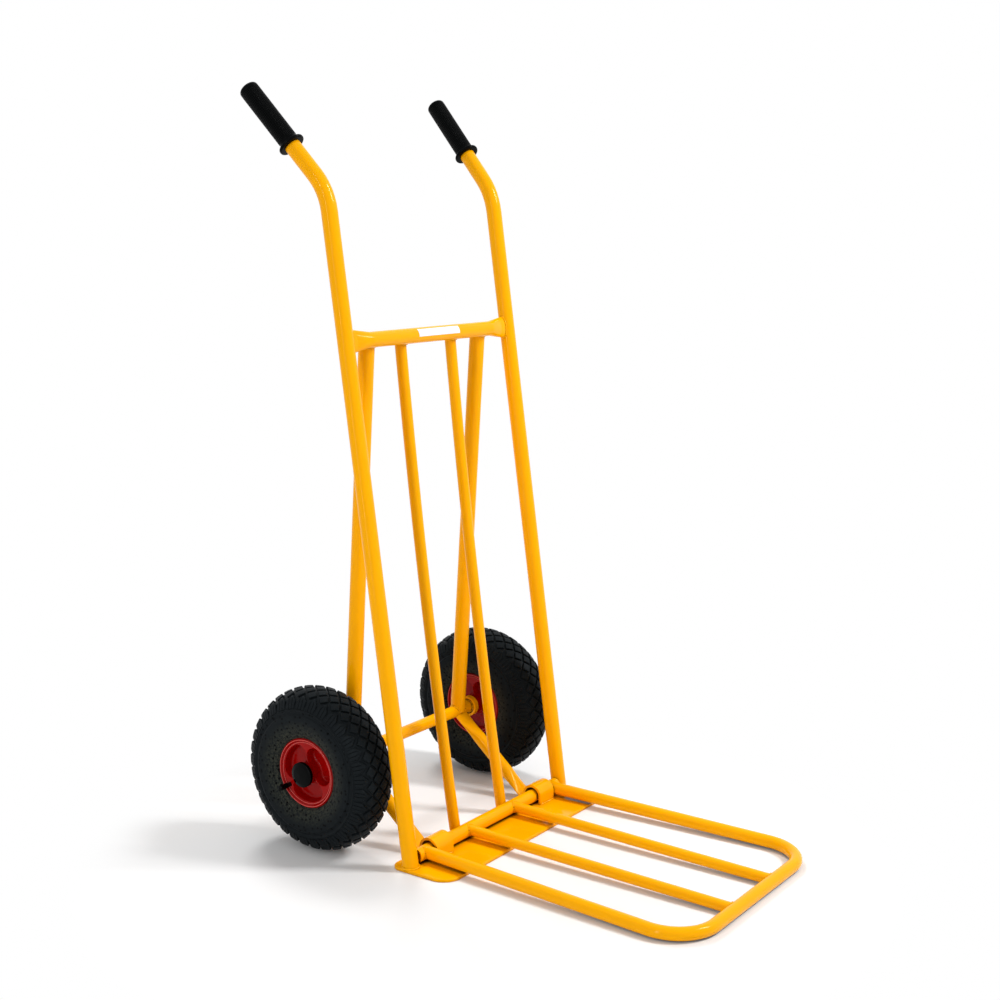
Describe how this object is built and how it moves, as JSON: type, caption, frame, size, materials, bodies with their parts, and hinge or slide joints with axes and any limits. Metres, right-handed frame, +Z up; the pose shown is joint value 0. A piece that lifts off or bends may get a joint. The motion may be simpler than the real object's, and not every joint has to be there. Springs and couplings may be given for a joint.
{
  "type": "hand truck",
  "caption": "Upright tube-frame hand truck with splayed rubber-gripped handles, air-filled wheels, a toe plate and a bar platform that folds up against the back.",
  "frame": {"origin": "on the floor, on the middle plane, under the feet of the stiles and on the toe plate's underside", "axes": "+Z up, +X across the truck (left is -X, as seen from in front), the platform points to -Y, the handles and wheels lie to +Y"},
  "size_m": [0.537, 0.7829, 1.1667],
  "materials": {
    "yellow_paint": "glossy",
    "red_plastic": "glossy",
    "grip_rubber": "ribbed, matte",
    "tyre_rubber": "matte",
    "tube_rubber": "matte",
    "cap_plastic": "satin",
    "bearing_nylon": "matte",
    "zinc_steel": "satin",
    "label_film": "glossy"
  },
  "bodies": {
    "frame": {"toe_plate": "yellow_paint", "left_stile": "yellow_paint", "right_stile": "yellow_paint", "left_grip": "grip_rubber", "right_grip": "grip_rubber", "crossbar": "yellow_paint", "blank_label": "label_film", "left_inner_bar": "yellow_paint", "right_inner_bar": "yellow_paint", "left_rear_strut": "yellow_paint", "right_rear_strut": "yellow_paint", "left_lower_strut": "yellow_paint", "right_lower_strut": "yellow_paint", "left_knuckle": "yellow_paint", "right_knuckle": "yellow_paint", "axle": "yellow_paint", "left_axle_collar": "yellow_paint", "right_axle_collar": "yellow_paint", "left_axle_washer": "zinc_steel", "right_axle_washer": "zinc_steel", "left_hub_cap": "cap_plastic", "right_hub_cap": "cap_plastic"},
    "platform": {"hinge_tube": "yellow_paint", "platform_loop": "yellow_paint", "left_platform_bar": "yellow_paint", "right_platform_bar": "yellow_paint"},
    "left_wheel": {"left_tyre": "tyre_rubber", "left_inner_tube": "tube_rubber", "left_outer_rim": "red_plastic", "left_inner_rim": "red_plastic", "left_hub": "red_plastic", "left_outer_bearing": "bearing_nylon", "left_inner_bearing": "bearing_nylon", "left_valve_stem": "tube_rubber", "left_valve_cap": "cap_plastic"},
    "right_wheel": {"right_tyre": "tyre_rubber", "right_inner_tube": "tube_rubber", "right_outer_rim": "red_plastic", "right_inner_rim": "red_plastic", "right_hub": "red_plastic", "right_outer_bearing": "bearing_nylon", "right_inner_bearing": "bearing_nylon", "right_valve_stem": "tube_rubber", "right_valve_cap": "cap_plastic"}
  },
  "joints": [
    {"name": "platform_fold", "type": "hinge", "parent": "frame", "child": "platform", "pos_m": [0, 0.001, 0.0168], "axis": [-1, 0, 0], "range_deg": [0, 96.7]},
    {"name": "left_wheel_spin", "type": "hinge", "parent": "frame", "child": "left_wheel", "pos_m": [-0.215, 0.17102, 0.13], "axis": [1, 0, 0], "continuous": true},
    {"name": "right_wheel_spin", "type": "hinge", "parent": "frame", "child": "right_wheel", "pos_m": [0.215, 0.17102, 0.13], "axis": [1, 0, 0], "continuous": true}
  ]
}
